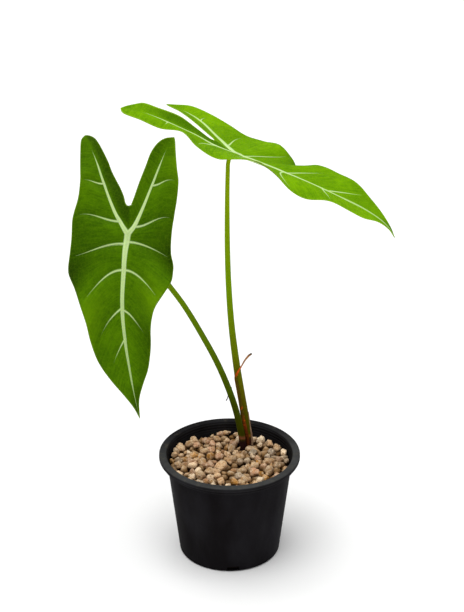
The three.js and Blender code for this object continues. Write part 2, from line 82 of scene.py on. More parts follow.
class Nodes:
    # a thin wrapper that keeps node trees short to write
    def __init__(self, name):
        self.mat = bpy.data.materials.new(name)
        self.mat.use_nodes = True
        self.tree = self.mat.node_tree
        self.shader = self.tree.nodes["Principled BSDF"]

    def put(self, kind, **given):
        # names in small letters are settings of the node, the others are its inputs
        node = self.tree.nodes.new(kind)
        for key, value in given.items():
            if key.islower():
                setattr(node, key, value)
            else:
                self.feed(node.inputs[key], value)
        return node

    def feed(self, socket, value):
        if isinstance(value, bpy.types.NodeSocket):
            self.tree.links.new(value, socket)
        else:
            socket.default_value = (*value, 1) if socket.type == "RGBA" else value

    def read(self, name, kind="Fac"):
        return self.put("ShaderNodeAttribute", attribute_name=name).outputs[kind]

    def place(self):
        return self.put("ShaderNodeTexCoord").outputs["Object"]

    def axis(self, vector, name):
        return self.put("ShaderNodeSeparateXYZ", Vector=vector).outputs[name]

    def math(self, operation, a, b=0.0, clamp=False):
        node = self.put("ShaderNodeMath", operation=operation, use_clamp=clamp)
        self.feed(node.inputs[0], a)
        self.feed(node.inputs[1], b)
        return node.outputs[0]

    def times(self, a, b, clamp=False):
        return self.math("MULTIPLY", a, b, clamp)

    def plus(self, a, b, clamp=False):
        return self.math("ADD", a, b, clamp)

    def linear(self, value, gain, base):
        return self.plus(self.times(value, gain), base)

    def share(self, value, start, size):
        # 0 at the start, 1 where the size is reached
        return self.math("DIVIDE", self.math("SUBTRACT", value, start), size, clamp=True)

    def scaled(self, vector, scale):
        return self.put("ShaderNodeMapping", Vector=vector, Scale=scale).outputs[0]

    def noise(self, vector, scale, detail=3.0, rough=0.5):
        return self.put("ShaderNodeTexNoise", Vector=vector, Scale=scale, Detail=detail,
                        Roughness=rough).outputs["Fac"]

    def ramp(self, value, stops):
        node = self.put("ShaderNodeValToRGB", Fac=value)
        ramp = node.color_ramp
        while len(ramp.elements) < len(stops):
            ramp.elements.new(0.5)
        for element, (at, colour) in zip(ramp.elements, stops.items()):
            element.position = at
            grey = isinstance(colour, (int, float))
            element.color = (colour, colour, colour, 1) if grey else (*colour, 1)
        return node.outputs["Color"]

    def mix(self, share, first, second, blend="MIX"):
        node = self.put("ShaderNodeMix", data_type="RGBA", blend_type=blend)
        for index, value in ((0, share), (6, first), (7, second)):
            self.feed(node.inputs[index], value)
        return node.outputs[2]

    def bump(self, height, strength, distance, under=None):
        node = self.put("ShaderNodeBump", Height=height, Strength=strength, Distance=distance)
        if under is not None:
            self.feed(node.inputs["Normal"], under)
        return node.outputs["Normal"]

    def finish(self, colour, roughness, gloss, normal=None, **fixed):
        for key, value in (("Base Color", colour), ("Roughness", roughness), ("Specular IOR Level", gloss)):
            self.feed(self.shader.inputs[key], value)
        if normal is not None:
            self.feed(self.shader.inputs["Normal"], normal)
        for key, value in fixed.items():
            self.shader.inputs[key.replace("_", " ")].default_value = value
        return self.mat


def unit(rows):
    return rows / np.maximum(np.linalg.norm(rows, axis=1), 1e-9)[:, None]


def smoothKeys(keys, station):
    # smooth curve through keys [station, values...]
    table = np.array(keys, float)
    at, values = table[:, 0], table[:, 1:]
    s = np.atleast_1d(np.asarray(station, float))
    steps = np.diff(values, axis=0) / np.diff(at)[:, None]
    lean = np.empty_like(values)
    lean[0], lean[-1] = steps[0], steps[-1]
    lean[1:-1] = (values[2:] - values[:-2]) / (at[2:] - at[:-2])[:, None]
    i = np.clip(np.searchsorted(at, s, side="right") - 1, 0, len(at) - 2)
    w = (at[i + 1] - at[i])[:, None]
    t = np.clip((s - at[i])[:, None] / w, 0, 1)
    t2, t3 = t * t, t * t * t
    start = (2 * t3 - 3 * t2 + 1) * values[i] + (t3 - 2 * t2 + t) * w * lean[i]
    return start + (3 * t2 - 2 * t3) * values[i + 1] + (t3 - t2) * w * lean[i + 1]


def darker(colour, share):
    return tuple(c * share for c in colour)


def distinct(corners):
    # a face's corners without repeats, in their order
    return list(dict.fromkeys(corners))


# leaves: outlines are [station, across, along, lift] in mm. A station is the place on the rib that its row
# starts from, negative down a lobe and positive to the tip. An arch is [station, sag, skew] of the rows, and
# a vein is [station, half width, how far out it runs]. Painted shade darkens the cleft, the dips and the
# tip, and painted light brightens the crests.
halves = ("right", "left")
tallLeaf = {
    "joint": (9.3, 14, 385.7), "heading": -31, "slope": 10, "tipDroop": 31, "droopPower": 4, "lobeRise": -5,
    "roll": 10, "tipRoll": -18.5, "foldRight": 15, "foldLeft": 5, "length": 158, "lobe": 102,
    "thickness": 0.7, "ribTop": 0.45, "ribUnder": 1.3, "quilt": 1, "lobeRib": 1.45, "cleftEnd": 0.15,
    "tipShade": 1, "ribEnd": (0.9, 1.04),
    "midrib": [[0, 0, 0, 0], [42, 0, 42, 0.5], [84, 2, 84, 0.8], [125, -3, 125, -0.8],
        [146, -0.4, 146.5, 1.4], [158, 1.2, 158, -0.6]],
    "right": {
        "rib": [[-112, 38, -105, -3], [-89, 35, -81, 2.5], [-44, 19.5, -40, 2.5], [-22, 9, -20, 0],
            [0, 0, 0, 0]],
        "outer": [[-112, 38, -105, -3], [-106, 43, -99, -6], [-90, 46, -80, -4.5], [-70, 43.5, -60, -4],
            [-48, 39.5, -40, 1], [-28, 42.5, -20, -6], [-10, 44, 0, -8.5], [3, 46.5, 15, -2.5],
            [13, 48.5, 30, 4], [22, 46, 42, 7], [31, 39.5, 54, 3], [40, 33.5, 66, -5.5],
            [56, 26.5, 80, -8.5], [80, 24, 100, -0.5], [104, 20, 120, 0.1], [118, 15.5, 130.2, 0.2],
            [132, 7.2, 140, 2.2], [146, 3.8, 150, 2.5], [158, 1.2, 158, -0.6]],
        "inner": [[-112, 38, -105, -3], [-108, 31, -104, 0], [-103, 27, -98, 5], [-97, 24.5, -92, 9],
            [-86, 23, -80, 10.5], [-60, 13, -60, 11.5], [-40, 7, -45, 7.5], [-20, 2, -32, 3.5],
            [0, 0, -27, 3.2]],
        "arch": [[-112, 0, 0], [-68, 0, 0], [-22, 0.3, -0.15], [5, 0.05, 0], [44, 0.22, 0.1],
            [82, -0.04, 0.05], [158, 0.05, 0]],
        "cleftShade": 0.9, "foldGain": 0.12, "foldBase": -0.06,
        "veins": [[-68, 0.55, 0.55], [-22, 0.85, 0.7], [5, 0.6, 0.6], [44, 0.8, 0.9], [82, 0.65, 0.8]]},
    "left": {
        "rib": [[-112, -40.5, -102, -1.5], [-89, -35.5, -80, 1.7], [-66, -30, -60, 2.3],
            [-44, -17, -38, 2.2], [-22, -11.5, -21, -0.8], [-10, -2, -8, -0.4], [0, 0, 0, 0]],
        "outer": [[-112, -40.5, -102, -1.5], [-106, -43, -96, 0], [-90, -47, -80.5, 4],
            [-70, -47, -59.5, 4.5], [-48, -48, -40, 2], [-26, -45.5, -19.5, 0], [-10, -45, -0.5, 1.7],
            [-2, -42.5, 15.5, 3.5], [5, -41, 30, -4.5], [17, -33.5, 42, -9], [28, -33.5, 54, -1],
            [38, -33, 65.5, 1], [48, -30.5, 80, 1], [68, -24.5, 100, 3], [92, -17.5, 120, -0.4],
            [122, -8.5, 140, -0.9], [142, -4, 150, -1.2], [158, 1.2, 158, -0.6]],
        "inner": [[-112, -40.5, -102, -1.5], [-104, -29.5, -96, 2.5], [-86, -22, -80, 5.5],
            [-60, -15, -61, 5.5], [-40, -8, -45.5, 5], [-20, -5, -33, 3], [0, 0, -27, 3.2]],
        "arch": [[-112, 0, 0], [-65, 0.25, 0], [-20, 0.17, -0.12], [3, -0.06, 0.12], [46, 0.04, 0.07],
            [86, 0.04, 0.15], [158, 0.05, 0]],
        "cleftShade": 0.25, "foldGain": 0.8, "foldBase": 0.22,
        "veins": [[-65, 0.6, 0.6], [-20, 0.8, 0.8], [3, 0.85, 0.85], [46, 0.8, 0.8], [86, 0.8, 0.85]]},
}

frontLeaf = {
    "joint": (-85, -52, 341), "heading": -80, "slope": 66, "tipDroop": 14, "droopPower": 1.5, "lobeRise": 14,
    "roll": -19, "tipRoll": 0, "foldRight": 0, "foldLeft": 0, "length": 158, "lobe": 92, "thickness": 0.7,
    "ribTop": 0.3, "ribUnder": 1.3, "quilt": 2, "lobeRib": 1, "cleftEnd": 0.9, "tipShade": 1.25,
    "ribEnd": (0.8, 0.95),
    "midrib": [[0, 0, 1.2, 0], [15, 3.2, 15, 0], [31, 5.6, 31, 0], [63, 9.1, 62.5, 0], [91, 8.4, 91, 0],
        [112, 6.4, 112, 0], [136, 3.4, 136, 0], [156, -0.5, 158.7, 0]],
    "right": {
        "rib": [[-90, 29.5, -88, 0], [-68, 22.3, -65.5, 0], [-46, 17, -43.5, 0], [-22, 10.2, -20, 0],
            [-8, 4.6, -7.5, 0], [0, 0, 1.2, 0]],
        "outer": [[-90, 29.5, -88, 0], [-86, 33, -85, -0.5], [-76, 35, -75.5, -2], [-62, 36, -61.5, -0.5],
            [-46, 36.5, -48.5, 2], [-28, 40, -33.5, 0], [-10, 47, -16, -3], [0, 49.5, 1.5, -4],
            [9, 53, 17, -6], [15, 55.5, 26, -9], [20, 55.5, 33, -10], [25, 50.5, 44, -6], [31, 44.5, 59, 2],
            [43, 39.5, 74.5, 5.5], [54, 37.5, 89.5, 3], [68, 33.5, 107, -1], [88, 24, 122.5, 0],
            [114, 11.5, 138.5, 0], [136, 4.5, 148.5, 0], [156, -0.5, 158.7, 0]],
        "inner": [[-90, 29.5, -88, 0], [-86, 26, -87.5, -1.5], [-80, 21, -83.5, -3], [-61, 13.5, -65, -5],
            [-46, 10, -53, -5], [-28, 3.5, -37.5, -4], [-17, 1, -30.5, -2.5], [-9, 0, -25.5, -1],
            [-4, -1.5, -23, 0], [0, -3, -22.5, 0]],
        "arch": [[-90, 0, 0], [-46, 0.03, -0.11], [-11, 0.07, -0.11], [9, 0.04, 0.05], [31, 0.18, 0.05],
            [63, 0.3, -0.1], [86, 0.3, -0.12], [156, 0.1, 0]],
        "cleftShade": 0.75, "foldGain": 1, "foldBase": 0,
        "veins": [[-46, 0.7, 0.85], [-11, 0.9, 0.86], [9, 1, 0.9], [31, 0.95, 0.86], [63, 0.8, 0.8],
            [89, 0.6, 0.75]]},
    "left": {
        "rib": [[-90, -46.5, -74.5, 0], [-80, -40.5, -68, 0], [-47, -24.3, -38, 0], [-22, -13.6, -17.6, 0],
            [-8, -5.8, -4.8, 0], [0, 0, 1.2, 0]],
        "outer": [[-90, -46.5, -74.5, 0], [-86, -47, -71, 0], [-76, -47, -63, 1.5], [-62, -47, -48, 2.5],
            [-50, -47, -38.5, 1], [-30, -44, -24.5, -2], [-10, -40, -10.5, -4], [-2, -36.5, 3, -6],
            [4, -34, 18.5, -9], [9, -35, 29, -10], [15, -35, 35.5, -7], [22, -34, 43.5, -1],
            [28, -28, 52.5, 4], [34, -21, 62, 6], [45, -16.5, 72, 3], [55, -13.5, 83, -3],
            [64, -12.5, 93, -6], [76, -11.5, 103.5, -5], [96, -9, 116.5, -4], [116, -4.5, 128.5, -3],
            [137, -0.5, 142.5, -1.5], [156, -0.5, 158.7, 0]],
        "inner": [[-90, -46.5, -74.5, 0], [-84, -39, -74.5, 0.5], [-76, -32, -71, 1], [-68, -26, -64.5, 1],
            [-54, -20.5, -54.5, 0], [-40, -15, -44.5, -1], [-30, -11.5, -38, -2], [-18, -8, -30, -1.5],
            [-9, -5.5, -24.5, -0.5], [-4, -5, -23, 0], [0, -3, -22.5, 0]],
        "arch": [[-90, 0, 0], [-46, 0.15, -0.17], [-8, 0.06, -0.14], [7, 0.09, 0.02], [31, 0.17, 0.05],
            [65, 0.17, 0.12], [156, 0.1, 0]],
        "cleftShade": 0.25, "foldGain": 1, "foldBase": -0.03,
        "veins": [[-46, 0.7, 0.85], [-8, 0.9, 0.9], [7, 0.95, 0.9], [31, 0.95, 0.9], [65, 0.8, 0.78]]},
}


def addUp(steps):
    return np.concatenate([[0], np.cumsum(steps)])


def onSheet(leaf, across, along, lift):
    # the leaf's flat plan bent down from joint to tip, then rolled and folded
    reach = np.linspace(-leaf["lobe"] * 1.15, leaf["length"] * 1.05, 400)
    droop = leaf["tipDroop"] * (np.maximum(reach, 0) / leaf["length"]) ** leaf["droopPower"]
    bend = np.where(reach > 0, droop, leaf["lobeRise"] * reach / leaf["lobe"])
    slope = np.radians(leaf["slope"] + bend)
    step = np.diff(reach)
    ahead = addUp((np.cos(slope[1:]) + np.cos(slope[:-1])) / 2 * step)
    drop = addUp((np.sin(slope[1:]) + np.sin(slope[:-1])) / 2 * step)
    ahead -= np.interp(0, reach, ahead)
    drop -= np.interp(0, reach, drop)
    here = np.interp(along, reach, slope)[:, None]
    roll = np.radians(leaf["roll"] + leaf["tipRoll"] * np.maximum(along, 0) / leaf["length"])[:, None]
    fold = np.radians(np.where(across > 0, leaf["foldRight"], leaf["foldLeft"]))[:, None]
    heading = math.radians(leaf["heading"])
    forth = np.array([math.cos(heading), math.sin(heading), 0])
    beside = np.array([forth[1], -forth[0], 0])
    up = np.sin(here) * forth + np.cos(here) * np.array([0, 0, 1.0])
    right = np.cos(roll) * beside + np.sin(roll) * up
    out = np.cos(roll) * up - np.sin(roll) * beside
    point = np.array(leaf["joint"]) + np.interp(along, reach, ahead)[:, None] * forth
    point[:, 2] -= np.interp(along, reach, drop)
    point = point + (across[:, None] * np.cos(fold)) * right
    return point + (np.abs(across)[:, None] * np.sin(fold) + lift[:, None]) * out


def leafRow(leaf, half, patch, station, share):
    # across, along and lift of points on one row; share 0 is the rib, 1 the margin
    side = leaf[half]
    foot = smoothKeys(leaf["midrib"] if station >= 0 else side["rib"], station)[0]
    edge = smoothKeys(side[patch], station)[0]
    span = edge - foot
    arch = 0.0
    if patch == "outer":
        sag, skew = smoothKeys(side["arch"], station)[0]
        arch = abs(span[0]) * 4 * share * (1 - share) * (sag + skew * (1 - 2 * share))
    across = foot[0] + span[0] * share
    along = foot[1] + span[1] * share - arch
    lift = foot[2] + span[2] * share ** 2
    return across, along, lift, math.hypot(span[0], span[1])


# how the blades are meshed, and how much they swell at ribs and veins, in mm
blade = {"rowGap": 2.2, "besideVein": (-2.6, -1.7, -1, -0.5, 0, 0.5, 1, 1.7, 2.6), "veinClear": 3.4,
         "ribSteps": (0, 0.4, 0.8, 1, 1.25, 1.8, 2.8), "outSteps": {"outer": 24, "inner": 10},
         "waveHeight": 9, "veinSink": 4.2, "ribSink": 5, "rimHalf": 0.2, "veinTop": 0.1, "veinUnder": 0.35,
         "weld": 0.002, "far": 99.0, "shownGap": 9}
# shares of the way out along a rib, then its half widths in mm
ribWidths = {
    "midrib": ([0, 0.06, 0.15, 0.3, 0.5, 0.7, 0.9, 1], [2.4, 2.2, 1.8, 1.55, 1.25, 0.85, 0.45, 0.25]),
    "lobe": ([0, 0.08, 0.2, 0.4, 0.7, 0.88, 1.1], [2.1, 1.55, 1.2, 0.9, 0.6, 0.3, 0.15])}


def ribHalfWidth(leaf, station):
    # the midrib and the lobe ribs thin out toward their tips
    if station >= 0:
        return np.interp(station / leaf["length"], *ribWidths["midrib"])
    return np.interp(-station / leaf["lobe"], *ribWidths["lobe"]) * leaf["lobeRib"]


def nearest(points, line):
    # distance from flat points to a polyline, and how far along it, 0 to 1
    best = np.full(len(points), 1e9)
    where = np.zeros(len(points))
    for k in range(len(line) - 1):
        start, step = line[k], line[k + 1] - line[k]
        t = np.clip(((points - start) @ step) / max(step @ step, 1e-9), 0, 1)
        away = np.hypot(*(points - start - t[:, None] * step).T)
        closer = away < best
        best[closer] = away[closer]
        where[closer] = ((k + t) / (len(line) - 1))[closer]
    return best, where


def rowStations(low, high, veins):
    # even rows, with closer ones beside each vein
    count = int((high - low) / blade["rowGap"]) + 1
    close = [v[0] + k * v[1] for v in veins for k in blade["besideVein"]]
    even = [s for s in np.linspace(low, high, count)
            if s in (low, high) or all(abs(s - v[0]) > blade["veinClear"] * v[1] for v in veins)]
    return sorted(set(s for s in even + close if low <= s <= high))


def rowShares(leaf, half, patch, station):
    # shares from the rib to the margin, close together over the rib
    span = leafRow(leaf, half, patch, station, np.array([0.0]))[3]
    near = np.array(blade["ribSteps"]) * ribHalfWidth(leaf, station) / max(span, 1e-6)
    near = np.minimum(near, np.linspace(0, 0.5, len(near)))
    beyond = np.linspace(0, 1, blade["outSteps"][patch])[1:]
    return np.concatenate([near, near[-1] + (1 - near[-1]) * beyond]), span


def paintedFoldShade(leaf, half, patch, station, share, lift):
    # painted shade and light: above 0 in the dips, beside the cleft and at the tip, where the green is
    # darkened, below 0 on the crests, where it is lightened
    side = leaf[half]
    if patch == "inner":
        tone = side["cleftShade"] * np.minimum(share * 2, 1)
        return tone * np.interp(station / side["rib"][0][0], [0.6, 0.9], [1, leaf["cleftEnd"]])
    tone = side["foldGain"] * np.clip(-lift / blade["waveHeight"], -0.8, 1) + side["foldBase"]
    return tone + leaf["tipShade"] * np.interp(station / leaf["midrib"][-1][0], [0.78, 1], [0, 1])


def gridQuads(base, rows, wide, turned):
    grid = np.arange(base, base + rows * wide).reshape(rows, wide)
    quads = [[a[j], b[j], b[j + 1], a[j + 1]] for a, b in zip(grid, grid[1:]) for j in range(wide - 1)]
    return [quad[::-1] for quad in quads] if turned else quads


def leafGrid(leaf):
    # rows of points from the ribs out to the margins, and the quads between them
    flat, lifts, quads, grains, foldShades = [], [], [], [], []
    bladeVeins = [v for half in halves for v in leaf[half]["veins"] if v[0] >= 0]
    for half in halves:
        side = leaf[half]
        lobeRows = rowStations(side["rib"][0][0], 0, [v for v in side["veins"] if v[0] < 0])
        bladeRows = rowStations(0, leaf["midrib"][-1][0], bladeVeins)
        for patch in ("outer", "inner"):
            stations = lobeRows + bladeRows[1:] if patch == "outer" else lobeRows
            base = len(flat)
            for station in stations:
                share, span = rowShares(leaf, half, patch, station)
                across, along, lift, _ = leafRow(leaf, half, patch, station, share)
                flat += list(zip(across, along))
                lifts += list(lift)
                foldShades += list(paintedFoldShade(leaf, half, patch, station, share, lift))
                grains += [(station, t * span, 0 if half == "right" else 60) for t in share]
            turned = (half == "right") == (patch == "outer")
            quads += gridQuads(base, len(stations), len(share), turned)
    return np.array(flat), np.array(lifts), quads, np.array(grains), np.array(foldShades)


def ribGaps(leaf, flat):
    # distance to the ribs in half widths and in mm, with each rib's paleness and swelling there
    gap, distance = np.full((2, len(flat)), blade["far"])
    tone, taper = np.ones((2, len(flat)))
    tip = leaf["midrib"][-1][0]
    for keys in (leaf["midrib"], leaf["right"]["rib"], leaf["left"]["rib"]):
        start, end = keys[0][0], keys[-1][0]
        away, where = nearest(flat, smoothKeys(keys, np.linspace(start, end, 120))[:, :2])
        station = start + where * (end - start)
        at = np.linspace(start, end, 200)
        width = np.interp(station, at, [ribHalfWidth(leaf, s) for s in at])
        fade = np.interp(station / tip, leaf["ribEnd"], [0, 1.0])
        if start < 0:
            fade = np.interp(station / start, [0.67, 0.87], [0, 1.3])
        closer = away / width + fade < gap
        gap[closer] = (away / width + fade)[closer]
        paleness = np.interp(np.abs(station) / tip, [0, 0.05, 0.15, 0.5, 1], [0.82, 0.95, 0.9, 0.75, 0.5])
        tone[closer] = paleness[closer]
        taper[closer] = np.interp(station / tip, [0.7, 0.95], [1, 0])[closer]
        distance = np.minimum(distance, away)
    return gap, distance, tone, taper


def veinGaps(leaf, flat):
    # distance to the side veins in half widths and in mm
    gap, distance = np.full((2, len(flat)), blade["far"])
    for half in halves:
        for station, halfWidth, runs in leaf[half]["veins"]:
            across, along, _, _ = leafRow(leaf, half, "outer", station, np.linspace(0, runs, 60))
            away, where = nearest(flat, np.stack([across, along], 1))
            gap = np.minimum(gap, away / (halfWidth * (1.1 - 0.7 * where)) + 1.1 * where ** 3)
            distance = np.minimum(distance, away + 3 * where ** 4)
    return gap, distance


def edgeGaps(leaf, flat):
    # distance to the margins in mm; the line from the cleft's foot to the joint is no margin
    gap = np.full(len(flat), blade["far"])
    for half in halves:
        for patch in ("outer", "inner"):
            keys = leaf[half][patch]
            line = smoothKeys(keys, np.linspace(keys[0][0], keys[-1][0], 240))[:, :2]
            gap = np.minimum(gap, nearest(flat, line)[0])
    sinus = np.array([leaf["right"]["inner"][-1][1:3], leaf["midrib"][0][1:3]], float)
    return np.where(nearest(flat, sinus)[0] < 0.5, np.maximum(gap, 1.0), gap)


def vertexNormals(points, faces):
    normals = np.zeros_like(points)
    for face in faces:
        out = np.cross(points[face[1]] - points[face[0]], points[face[2]] - points[face[0]])
        for corner in face:
            normals[corner] += out
    return unit(normals)


def openEdges(faces):
    edges = dict.fromkeys((face[k], face[(k + 1) % len(face)]) for face in faces for k in range(len(face)))
    return [(a, b) for a, b in edges if (b, a) not in edges]


def buildLeaf(name, leaf, skins):
    # a closed blade: the bent sheet, thickened to both sides and swollen at its ribs
    flat, lifts, quads, grains, foldShades = leafGrid(leaf)
    ribGap, ribDistance, ribTone, ribTaper = ribGaps(leaf, flat)
    veinGap, veinDistance = veinGaps(leaf, flat)
    edgeGap = edgeGaps(leaf, flat)
    veinDip = np.exp(-(veinDistance / blade["veinSink"]) ** 2) * np.clip(ribDistance / 6, 0, 1)
    ribDip = 0.5 * np.exp(-(ribDistance / blade["ribSink"]) ** 2)
    lifts = lifts - leaf["quilt"] * veinDip - leaf["quilt"] * ribDip
    points = onSheet(leaf, flat[:, 0], flat[:, 1], lifts)

    # join the rows that share a rib, the cleft's foot or a tip
    cell = np.round(points / blade["weld"]).astype(np.int64)
    _, first, joined = np.unique(cell, axis=0, return_index=True, return_inverse=True)
    joined = joined.ravel()
    points = points[first]
    faces = [distinct(joined[i] for i in quad) for quad in quads]
    faces = [face for face in faces if len(face) > 2]
    normals = vertexNormals(points, faces)
    rim = openEdges(faces)
    half = np.full(len(points), leaf["thickness"] / 2)
    half[[a for a, b in rim]] = blade["rimHalf"]
    ribRise = (np.clip(1 - ribGap, 0, 1) * ribTaper)[first]
    veinRise = np.clip(1 - veinGap, 0, 1)[first]
    top = half + leaf["ribTop"] * ribRise ** 0.7 + blade["veinTop"] * veinRise
    low = half + leaf["ribUnder"] * ribRise ** 0.6 + blade["veinUnder"] * veinRise
    n = len(points)
    points = np.concatenate([points + normals * top[:, None], points - normals * low[:, None]])
    below = [[c + n for c in face[::-1]] for face in faces]
    between = [[a, a + n, b + n, b] for a, b in rim]
    slots = [0] * len(faces) + [1] * len(below) + [0] * len(between)
    piece = makePiece(name, points * mm, faces + below + between, skins, slots=slots)
    far = blade["shownGap"]
    for label, values in (("ribGap", ribGap), ("veinGap", veinGap), ("edgeGap", edgeGap)):
        addValues(piece, label, np.tile(np.minimum(values[first], far) / far, 2))
    addValues(piece, "ribTone", np.tile(ribTone[first], 2))
    # painted shade in the dips, beside the cleft and at the tip, and painted light on the crests
    addValues(piece, "fold", np.tile(foldShades[first], 2))
    addValues(piece, "grain", np.tile(grains[first], (2, 1)), "FLOAT_VECTOR", "vector")
    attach(piece, "root")
    return piece


# the fold colour is painted shade for the dips, the cleft and the tip, and the crest colour painted light
# for the crests. The tall leaf's greens are lighter and the front leaf's darker partly as painted light and
# painted shade on the same leaf tissue
frontLook = {"deep": (0.031, 0.090, 0.0003), "fresh": (0.070, 0.170, 0.0004), "vein": (0.58, 0.745, 0.335),
             "fold": (0.015, 0.042, 0.0003), "crestLight": (0.125, 0.255, 0.0008), "edge": (0.17, 0.29, 0.008),
             "under": (0.10, 0.18, 0.015), "roughness": 0.5, "gloss": 0.014}
tallLook = {"deep": (0.080, 0.212, 0.0004), "fresh": (0.168, 0.364, 0.0006), "vein": (0.61, 0.79, 0.37),
            "fold": (0.052, 0.150, 0.0006), "crestLight": (0.21, 0.43, 0.0012), "edge": (0.28, 0.46, 0.015),
            "under": (0.14, 0.25, 0.015), "roughness": 0.55, "gloss": 0.012}


def leafSkin(name, look, under=False):
    n = Nodes(name)
    place, grain = n.place(), n.read("grain", "Vector")
    broad = n.noise(place, 30, 3, 0.5)
    patchy = n.noise(place, 190, 3, 0.6)
    streak = n.noise(n.scaled(grain, (0.9, 0.06, 1)), 1, 4, 0.6)
    speck = n.noise(place, 900, 2, 0.6)
    tone = n.plus(n.times(broad, 0.3), n.times(streak, 0.42))
    tone = n.plus(tone, n.times(patchy, 0.28))
    if under:
        green = n.ramp(tone, {0.35: darker(look["under"], 0.8), 0.65: look["under"]})
    else:
        # painted shade: the dips of the waves, the cleft side and the tip get a deeper green; painted light:
        # the crests get a fresher one
        green = n.ramp(tone, {0.38: look["deep"], 0.6: look["fresh"]})
        fold = n.read("fold")
        wander = n.linear(patchy, 0.8, 0.6)
        green = n.mix(n.times(fold, wander, clamp=True), green, look["fold"])
        green = n.mix(n.times(fold, -0.9, clamp=True), green, look["crestLight"])
    # gaps count half widths of a rib or vein, or mm from the margin, and nine of them make 1
    rib = n.ramp(n.read("ribGap"), {0: 0.82, 0.04: 0.9, 0.08: 1, 0.112: 0.7, 0.14: 0})
    rib = n.times(rib, n.read("ribTone"))
    vein = n.ramp(n.read("veinGap"), {0: 0.85, 0.05: 0.7, 0.11: 0.3, 0.17: 0})
    halo = n.ramp(n.read("ribGap"), {0.11: 0.3, 0.35: 0})
    edge = n.ramp(n.read("edgeGap"), {0: 0.75, 0.06: 0.4, 0.11: 0})
    netting = n.put("ShaderNodeTexVoronoi", feature="DISTANCE_TO_EDGE", Vector=place, Scale=330.0)
    lines = n.ramp(netting.outputs["Distance"], {0: 0.13, 0.09: 0})
    colour = n.mix(halo, green, look["under"] if under else look["fresh"])
    colour = n.mix(lines, colour, look["edge"])
    colour = n.mix(edge, colour, look["edge"])
    colour = n.mix(n.math("MAXIMUM", rib, vein), colour, look["vein"])
    rough = n.linear(streak, 0.14, look["roughness"] - 0.07 + (0.15 if under else 0))
    normal = n.bump(streak, 0.5, 0.0004, n.bump(speck, 0.25, 0.00006, n.bump(patchy, 0.35, 0.0005)))
    return n.finish(colour, rough, look["gloss"], normal, Subsurface_Weight=0.1,
                    Subsurface_Radius=(0.6, 1.0, 0.05), Subsurface_Scale=0.001)


for leaf, look, name, node in ((tallLeaf, tallLook, "tall", "tall_blade"),
                               (frontLeaf, frontLook, "front", "front_blade")):
    skins = [leafSkin(name + "Upper", look), leafSkin(name + "Under", look, True)]
    piece = buildLeaf(name + "BladeSkin", leaf, skins)
    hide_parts(node)
    print(name, "leaf:", len(piece.data.vertices), "points")


# leaf stalks: [x, y, z, width, depth] in mm
tallStalk = {"sides": 28, "step": 1.5, "keys": [
    [17.18, 34.2, 78, 8.06, 7.62], [17.08, 34, 92, 8.06, 7.62], [14.88, 33, 115.1, 7.73, 7.28],
    [10.98, 31, 142.7, 7.28, 6.94], [6.48, 29, 175.1, 6.61, 6.5], [1.88, 26, 217.4, 5.82, 5.82],
    [-0.72, 24, 258.2, 5.26, 5.26], [-1.82, 22, 298, 4.82, 4.82], [-1.92, 21, 336.4, 4.26, 4.26],
    [-1.72, 19.4, 354, 3.92, 3.92], [-1.42, 18.4, 368, 3.81, 3.7], [-1.02, 17.8, 377, 3.7, 3.58],
    [0.88, 16.8, 382, 3.7, 3.36], [8.48, 14.2, 384.2, 3.58, 2.46]]}
frontStalk = {"sides": 28, "step": 2, "keys": [
    [12.5, 29, 78, 6.48, 6.48], [12.4, 28.6, 92, 6.37, 6.37], [8.6, 25.8, 117.9, 6.16, 6.16],
    [1.5, 19, 148.7, 5.83, 5.83], [-10, 8, 185.9, 5.51, 5.51], [-24.2, -6, 223.1, 5.18, 5.18],
    [-39.7, -19, 258.6, 4.86, 4.86], [-54.6, -31, 287.1, 4.64, 4.64], [-68.2, -41, 313, 4.32, 4.32],
    [-78.3, -47.2, 331, 4, 4], [-84.7, -50.3, 340, 3.67, 3.67]]}


def bendTube(name, plan, mats, wobble=0.0, seed=1):
    # a stalk or strip swept through its keys, with grooves along it
    keys = np.array(plan["keys"], float)
    gaps = np.linalg.norm(np.diff(keys[:, :3], axis=0), axis=1)
    run = addUp(np.sqrt(gaps))
    rings = max(int(gaps.sum() / plan["step"]), 8)
    rows = smoothKeys(np.column_stack([run, keys]), np.linspace(0, run[-1], rings))
    centre, size = rows[:, :3], rows[:, 3:5]
    along = unit(np.gradient(centre, axis=0))
    side = unit(np.array([1.0, 0, 0]) - along * along[:, :1])
    front = np.cross(side, along)
    angle = np.linspace(0, 2 * math.pi, plan["sides"], endpoint=False)
    rng = np.random.default_rng(seed)
    wide, fine = rng.uniform(0, 6), rng.uniform(0, 6)
    grooves = 1 + wobble * np.sin(angle * 7 + wide) + wobble * np.sin(angle * 11 + fine)
    points = []
    for i in range(rings):
        a = np.cos(angle) * grooves * size[i, 0] / 2
        b = np.sin(angle) * grooves * size[i, 1] / 2
        points += list(centre[i] + a[:, None] * side[i] + b[:, None] * front[i])
    run = addUp(np.linalg.norm(np.diff(centre, axis=0), axis=1))
    spots = [(far, turn * 3, 0) for far in run for turn in angle]
    rounds = np.arange(len(points)).reshape(rings, plan["sides"])
    faces = [[a[j - 1], b[j - 1], b[j], a[j]] for a, b in zip(rounds, rounds[1:]) for j in range(len(a))]
    faces += [rounds[0], rounds[-1][::-1]]
    piece = makePiece(name, np.array(points) * mm, faces, mats)
    addValues(piece, "grain", spots, "FLOAT_VECTOR", "vector")
    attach(piece, "root")
    return piece


